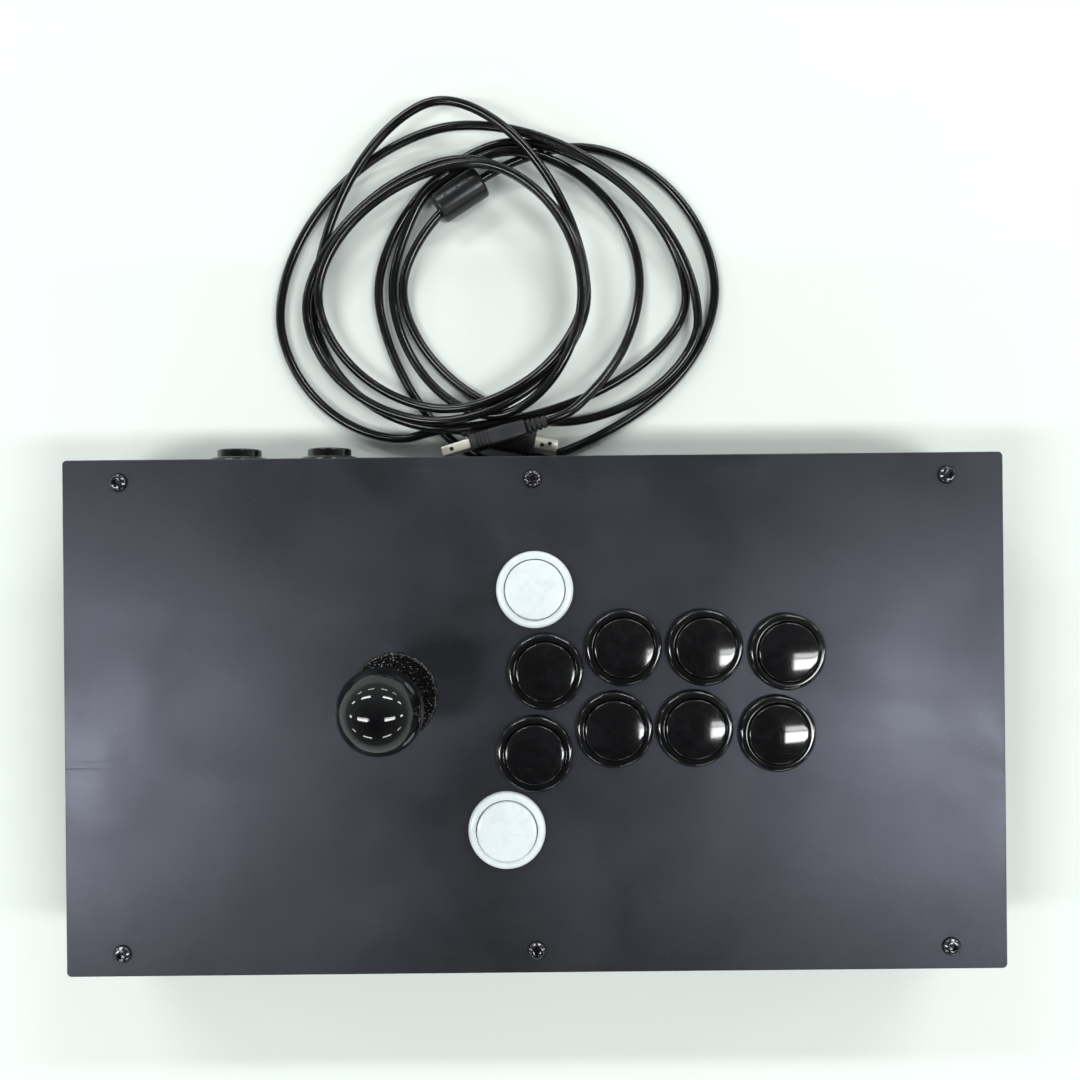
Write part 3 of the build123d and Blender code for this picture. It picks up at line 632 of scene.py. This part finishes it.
def make_lever():
    """The ball top and the dust washer, both turned about the lever's axis."""
    axis = Matrix.Translation((lever_axis.x, lever_axis.y, 0))
    radius, gate_mark = 17.5, 0.15
    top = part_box("ball_top")[1].z / MM - gate_mark
    centre = top - radius
    arc = [(radius * math.cos(angle), centre + radius * math.sin(angle))
           for angle in np.radians(np.linspace(-74.1, 85.5, 60))]
    outline = [(4.75, centre - 15.2), (4.9, centre - 16.4), *arc, (1.3, top + 0.12),
               (1.0, top + 0.16), (0, top + 0.16)]
    ball = turned_piece("ball_top_knob", outline, axis, ball_gloss, 128)
    stand_for(ball, "ball_top")

    washer_low, washer_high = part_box("dust_washer")
    low, high, edge = washer_low.z / MM, washer_high.z / MM, 18.9
    outline = rounded([(8.0, low, 0), (8.0, high, 0.3), (edge - 1.0, high, 0.3),
                       (edge, high - 0.75, 0.2), (edge, low, 0.0), (8.0, low, 0)])
    washer = turned_piece("dust_washer_disc", outline, axis, pebbled, 128)
    stand_for(washer, "dust_washer")


make_lever()


# ---------------------------------------------------------------- screws and plugs

def make_panel_screws():
    """The six button-head screws with their hexagon sockets."""
    low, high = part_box("panel_screws")
    head, shank, length, socket = 4.05, 1.95, 12, 1.45
    outline = rounded([(0, -length, 0), (shank, -length, 0), (shank, 0, 0), (head, 0.0, 0),
                       (head, 0.45, 0.25), (3.6, 1.35, 1.2), (2.5, 2.1, 0.8), (1.75, 2.2, 0.1)])
    outline = [tuple(p) for p in outline] + [(socket, 2.1), (socket, 0.7), (0, 0.55)]
    sockets = {len(outline) - 3, len(outline) - 2}
    screws = []
    for x in (low.x + head * MM, panel_mid.x, high.x - head * MM):
        for y in (low.y + head * MM, high.y - head * MM):
            turn = Matrix.Rotation(x * 40 + y * 70, 4, "Z")     # a different one for each screw
            base = Matrix.Translation((x, y, panel_top)) @ turn
            screws.append(turned_piece("panel_screw", outline, base, black_steel, 72, sockets))
    stand_for(joined(screws, "panel_screw_heads"), "panel_screws")


make_panel_screws()


def make_hole_plugs():
    """The two plugs that close spare holes in the rear wall."""
    low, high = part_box("hole_plugs")
    rim, barrel, head, skirt = 13.5, 11.8, 2.0, 8.0
    outline = rounded([(0, -0.4, 0), (barrel - 1.5, -0.4, 0), (barrel - 1.5, -skirt, 0),
                       (barrel, -skirt, 0.3), (barrel, 0.02, 0), (rim, 0.02, 0.3),
                       (rim, head, 1.4), (rim - 3.2, head, 0), (rim - 3.6, head - 0.2, 0.2),
                       (0, head - 0.15, 0)])
    rear_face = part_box("case_shell")[1].y
    plugs = []
    for x in (low.x + rim * MM, high.x - rim * MM):
        place = Matrix.Translation((x, rear_face, (low.z + high.z) / 2))
        base = place @ facing_rear
        plugs.append(turned_piece("hole_plug", outline[::-1], base, black_gloss))
    stand_for(joined(plugs, "hole_plug_caps"), "hole_plugs")


make_hole_plugs()


# ---------------------------------------------------------------- plugs and ferrite bead

def lying(x, y, z, heading, nose_down=0.0, rolled=0.0):
    """Matrix of a lying piece from its place in mm from the panel's centre: its X axis points
    along the heading in degrees, dips by nose_down, and the piece is rolled about it."""
    place = Matrix.Translation((panel_mid.x + x * MM, panel_mid.y + y * MM, z * MM))
    turn = Matrix.Rotation(math.radians(heading), 4, "Z")
    dip = Matrix.Rotation(math.radians(nose_down), 4, "Y")
    return place @ turn @ dip @ Matrix.Rotation(math.radians(rolled), 4, "X")


def lofted_piece(name, sections, base, material, segments=64, corner=0.0):
    """A mesh through superellipse sections across the base matrix's X axis, closed at its ends.

    A section in mm is (along, half width, half height, squareness); corner cuts this share off
    the two upper corners, as on a USB-B plug."""
    vertices, faces = [], []
    for along, half_width, half_height, square in sections:
        for segment in range(segments):
            angle = 2 * math.pi * (segment + 0.5) / segments
            across = math.copysign(abs(math.cos(angle)) ** (2 / square), math.cos(angle))
            up = math.copysign(abs(math.sin(angle)) ** (2 / square), math.sin(angle))
            over = max(abs(across) + up - (2 - corner), 0) / 2
            across -= math.copysign(over, across)
            vertices.append(base @ (Vector((along, half_width * across,
                                            half_height * (up - over))) * MM))
    for ring in range(len(sections) - 1):
        start = ring * segments
        for segment in range(segments):
            after = (segment + 1) % segments
            faces.append((start + segment, start + after, start + segments + after,
                          start + segments + segment))
    for ring, along in ((0, sections[0][0]), (len(sections) - 1, sections[-1][0])):
        middle = len(vertices)
        vertices.append(base @ Vector((along * MM, 0, 0)))
        for segment in range(segments):
            faces.append((middle, ring * segments + segment,
                          ring * segments + (segment + 1) % segments))
    mesh = bpy.data.meshes.new(name)
    mesh.from_pydata(vertices, [], faces)
    shape = bmesh.new()
    shape.from_mesh(mesh)
    bmesh.ops.recalc_face_normals(shape, faces=shape.faces)
    shape.to_mesh(mesh)
    shape.free()
    mesh.shade_smooth()
    mesh.set_sharp_from_angle(angle=math.radians(40))
    mesh.materials.append(material)
    piece = bpy.data.objects.new(name, mesh)
    bpy.context.scene.collection.objects.link(piece)
    return piece


def make_grip(node, base, width, height, length, relief):
    """A moulded grip with rounded ends, four finger grooves and a ringed strain relief."""
    wide, tall = width / 2, height / 2
    sections = [(0, wide - 0.9, tall - 0.9, 5), (-0.3, wide - 0.3, tall - 0.3, 6),
                (-0.9, wide, tall, 7)]
    grooves, first_groove, groove_pitch, groove_depth = 4, 3.5, 1.8, 0.35
    for groove in range(grooves):
        start = -first_groove - groove_pitch * groove
        deep = (wide - groove_depth, tall - groove_depth, 7)
        sections += [(start, wide, tall, 7), (start - 0.12, *deep), (start - 0.68, *deep),
                     (start - 0.8, wide, tall, 7)]
    sections += [(-0.6 * length, wide, tall, 7), (0.9 - length, wide - 0.35, 0.88 * tall, 6),
                 (0.3 - length, wide - 0.65, 0.84 * tall, 5), (-length, 2.8, 3.4, 3)]
    rings, neck = 4, 2.45
    for ring in range(rings):
        start = -length - 0.6 - ring * (relief - 0.6) / rings
        size = 3.55 - 0.25 * ring
        sections += [(start, neck, neck, 2), (start - 0.1, size, size, 3.2),
                     (start - 1.5, size - 0.1, size - 0.1, 3.2), (start - 1.6, neck, neck, 2)]
    sections.append((-length - relief, 2.4, 2.4, 2))
    grip = lofted_piece(f"{node}_moulding", sections, base, plug_grain)
    stand_for(grip, node)
    return grip


def make_shell(node, base, width, height, length, corner, holes):
    """A folded metal plug shell, open at its nose, with its tongue, and its punched windows drawn
    as thin black discs of painted shade.

    A hole in mm is (along, across) from the middle of the shell's root."""
    wide, tall, thick, root = width / 2, height / 2, 0.4, 1.6
    sections = [(0, wide, tall, 12), (length - 0.3, wide, tall, 12),
                (length, wide - 0.15, tall - 0.15, 12), (length, wide - thick, tall - thick, 12),
                (root, wide - thick, tall - thick, 12)]
    shell = lofted_piece(f"{node}_sleeve", sections, base, nickel, 96, corner)
    tongue = [(root, 0.55 * wide, 0.42 * tall, 10), (length - 1.6, 0.55 * wide, 0.42 * tall, 10),
              (length - 1.4, 0.5 * wide, 0.37 * tall, 10)]
    parts = [shell, lofted_piece("tongue", tongue, base, nylon)]
    # Each window is a thin black disc on the shell's face: painted shade standing for the dark
    # inside of the hole.
    hole_shade_disc = rounded([(0, 0.01, 0), (0.62, 0.01, 0), (0.8, 0.05, 0.02), (0.95, 0.0, 0)], 3)
    for along, across in holes:
        for side in (1, -1):
            place = base @ Matrix.Translation((along * MM, across * MM, side * tall * MM))
            if side < 0:
                place = place @ Matrix.Rotation(math.pi, 4, "X")
            parts.append(turned_piece("hole_shade_disc", hole_shade_disc, place, black_matt, 32))
    whole = joined(parts, f"{node}_sleeve")
    stand_for(whole, node)
    return whole


def make_ferrite():
    """The ferrite bead's moulded cover, with its ejector marks."""
    half, radius, edge = 12.5, 7.6, 1.6
    arc = [(half - edge + edge * math.sin(angle), radius - edge + edge * math.cos(angle))
           for angle in np.radians(np.linspace(0, 90, 7))]
    body = [(along, size, size, 2.0) for along, size in arc]
    sections = [(-along, *rest) for along, *rest in reversed(body)] + body
    ends = [(half - 0.5, 2.6, 2.6, 2.0), (half - 1.5, 2.3, 2.3, 2.0)]
    sections = [(-along, *rest) for along, *rest in reversed(ends)] + sections + ends
    base = lying(-34.0, 241.5, radius, 33.0)
    cover = lofted_piece("ferrite_cover", sections, base, bead_plastic)
    parts = [cover]
    mark = [(0, 0.28), (0.35, 0.22), (0.55, 0.05), (0.6, -0.2)]
    marked_side = base @ Matrix.Rotation(-0.25, 4, "X")
    for along in (-6.5, 0, 6.5):
        place = marked_side @ Matrix.Translation((along * MM, 0, (radius - 0.02) * MM))
        parts.append(turned_piece("mark", mark[::-1], place, bead_plastic, 24))
    whole = joined(parts, "ferrite_cover")
    stand_for(whole, "ferrite_bead")
    return whole


plug_grain = moulded_plastic("plug_grain", (0.008, 0.008, 0.0095), (0.015, 0.015, 0.017),
                             (0.42, 0.55))
bead_plastic = moulded_plastic("bead_plastic", (0.006, 0.006, 0.007), (0.011, 0.011, 0.012),
                               (0.285, 0.36), 1500, 0.00003)
plug_a = lying(-28.6, 120.6, 19.5, 195.8, 5.0)
plug_b = lying(0.9, 121.6, 5.6, -11.0)
lead_pieces = [
    make_grip("usb_a_grip", plug_a, width=8.2, height=15.6, length=27.0, relief=10.0),
    make_shell("usb_a_shell", plug_a, width=4.8, height=12.0, length=13.6, corner=0.0,
               holes=[(9.0, 0.0)]),
    make_grip("usb_b_grip", plug_b, width=12.0, height=11.2, length=26.0, relief=10.0),
    make_shell("usb_b_shell", plug_b, width=8.5, height=7.8, length=11.0, corner=0.7,
               holes=[(3.6, 0.0), (7.2, 1.2)]),
    make_ferrite(),
]


# ---------------------------------------------------------------- floor and light

def make_floor():
    """A plain pale floor."""
    mesh = bpy.data.meshes.new("floor")
    side = 3.0
    mesh.from_pydata([(-side, -side, 0), (side, -side, 0), (side, side, 0), (-side, side, 0)],
                     [], [(0, 1, 2, 3)])
    floor = bpy.data.objects.new("floor", mesh)
    finish = Finish("floor", specular=0.2)
    clouds = finish.ranged(finish.noise(3, 3), 0.3, 0.7)
    finish.colour(finish.mixed(clouds, (0.800, 0.845, 0.802), (0.820, 0.865, 0.822)))
    finish.roughness(finish.ranged(finish.noise(40, 3), 0.3, 0.7, 0.5, 0.6))
    mesh.materials.append(finish.material)
    bpy.context.scene.collection.objects.link(floor)


ceiling = panel_top + 1.7
lamp_columns = (-4.2, -1.32, 1.2, 3.8)
lamp_rows = ((-2.8, 23.0), (-0.335, 23.5), (1.9, 31.0), (4.6, 31.0))     # y, radiance
lamp_strips = ((-0.055, 0.19, 1.0), (0.105, 0.085, 0.55))     # y offset, width, share of radiance
lamp_length = 1.2


def make_light():
    """A pale room, darkest above the photographer, under rows of ceiling lamps of two strips."""
    world = bpy.data.worlds.new("room")
    world.use_nodes = True
    tree = world.node_tree
    direction = tree.nodes.new("ShaderNodeTexCoord").outputs["Generated"]
    strength = None
    # An axis, and two pairs of a direction's cosine with it and the light's strength there.
    overhead = ((0, -0.42, 0.907), (0.0, 0.45), (1.0, 0.03))
    horizon = ((0, 0, 1), (0.02, 0.5), (0.12, 0.0))
    for axis, near, far in (overhead, horizon):
        tilt = tree.nodes.new("ShaderNodeVectorMath")
        tilt.operation = "DOT_PRODUCT"
        tilt.inputs[1].default_value = axis
        tree.links.new(direction, tilt.inputs[0])
        spread = tree.nodes.new("ShaderNodeMapRange")
        spread.inputs["From Min"].default_value, spread.inputs["To Min"].default_value = near
        spread.inputs["From Max"].default_value, spread.inputs["To Max"].default_value = far
        tree.links.new(tilt.outputs["Value"], spread.inputs["Value"])
        if strength:
            total = tree.nodes.new("ShaderNodeMath")
            tree.links.new(strength, total.inputs[0])
            tree.links.new(spread.outputs["Result"], total.inputs[1])
            strength = total.outputs["Value"]
        else:
            strength = spread.outputs["Result"]
    background = tree.nodes["Background"]
    background.inputs["Color"].default_value = (0.95, 1.0, 0.99, 1)
    tree.links.new(strength, background.inputs["Strength"])
    bpy.context.scene.world = world
    for x in lamp_columns:
        for y, radiance in lamp_rows:
            for offset, width, share in lamp_strips:
                ceiling_light((x, y + offset, ceiling), (lamp_length, width), share * radiance)


make_floor()
make_light()
bpy.context.scene.view_settings.view_transform = "Standard"
